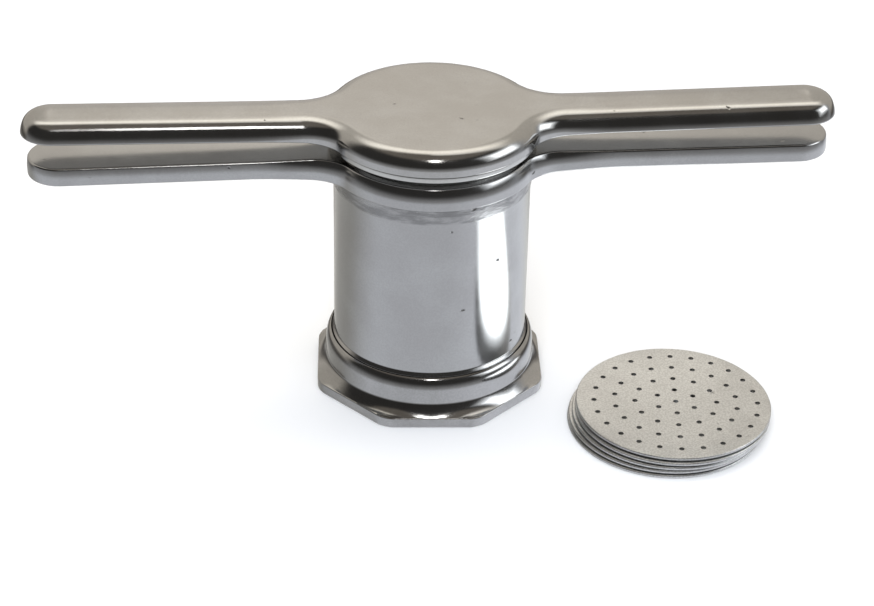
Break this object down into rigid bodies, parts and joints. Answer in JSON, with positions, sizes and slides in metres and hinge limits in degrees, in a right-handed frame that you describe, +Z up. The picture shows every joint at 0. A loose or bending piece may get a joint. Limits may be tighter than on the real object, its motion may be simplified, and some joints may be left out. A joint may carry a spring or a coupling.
{
  "type": "potato ricer",
  "caption": "Plunger press for ricing cooked potato: a grip-barred plunger slides in a flanged barrel over a screen held by a screw-on ring, with spare screens in a pile beside it.",
  "frame": {"origin": "on the press axis, in the plane that the retaining ring and the spare screens stand on", "axes": "+Z up along the press axis, towards the plunger plate; X along the grips, with the pile of spare screens on the +X side; -Y towards the user and the pile"},
  "size_m": [0.28, 0.117, 0.1074],
  "materials": {
    "polished_casting": "cast aluminium, hand polished to a warm grey shine",
    "machined_piston": "cast aluminium, turned and buffed",
    "rolled_sheet": "rolled aluminium sheet, satin, with punched holes",
    "steel_screw": "plain steel, turned"
  },
  "bodies": {
    "base": {"retaining_ring": "polished_casting", "spare_screen_1": "rolled_sheet"},
    "screen": {"fitted_screen": "rolled_sheet"},
    "barrel": {"barrel": "polished_casting"},
    "piston": {"piston_cup": "machined_piston", "piston_screw": "steel_screw"},
    "handle": {"plunger_handle": "polished_casting"},
    "spare_2": {"spare_screen_2": "rolled_sheet"},
    "spare_3": {"spare_screen_3": "rolled_sheet"},
    "spare_4": {"spare_screen_4": "rolled_sheet"},
    "spare_5": {"spare_screen_5": "rolled_sheet"}
  },
  "joints": [
    {"name": "barrel_unscrew", "type": "hinge", "parent": "base", "child": "screen", "pos_m": [0, 0, 0], "axis": [0, 0, 1], "range_deg": [0, 900]},
    {"name": "barrel_rise", "type": "slide", "parent": "screen", "child": "barrel", "axis": [0, 0, 1], "range_m": [0, 0.01]},
    {"name": "plunger_lift", "type": "slide", "parent": "barrel", "child": "piston", "axis": [0, 0, 1], "range_m": [-0.0026, 0.078]},
    {"name": "plunger_turn", "type": "hinge", "parent": "piston", "child": "handle", "pos_m": [0, 0, 0.1], "axis": [0, 0, 1], "continuous": true},
    {"name": "spare_2_lift", "type": "slide", "parent": "base", "child": "spare_2", "axis": [0, 0, 1], "range_m": [0, 0.02]},
    {"name": "spare_3_lift", "type": "slide", "parent": "spare_2", "child": "spare_3", "axis": [0, 0, 1], "range_m": [0, 0.02]},
    {"name": "spare_4_lift", "type": "slide", "parent": "spare_3", "child": "spare_4", "axis": [0, 0, 1], "range_m": [0, 0.02]},
    {"name": "spare_5_lift", "type": "slide", "parent": "spare_4", "child": "spare_5", "axis": [0, 0, 1], "range_m": [0, 0.02]}
  ],
  "couplings": [
    {"joint": "barrel_rise", "follows": "barrel_unscrew", "m_per_rad": 0.00063662}
  ]
}
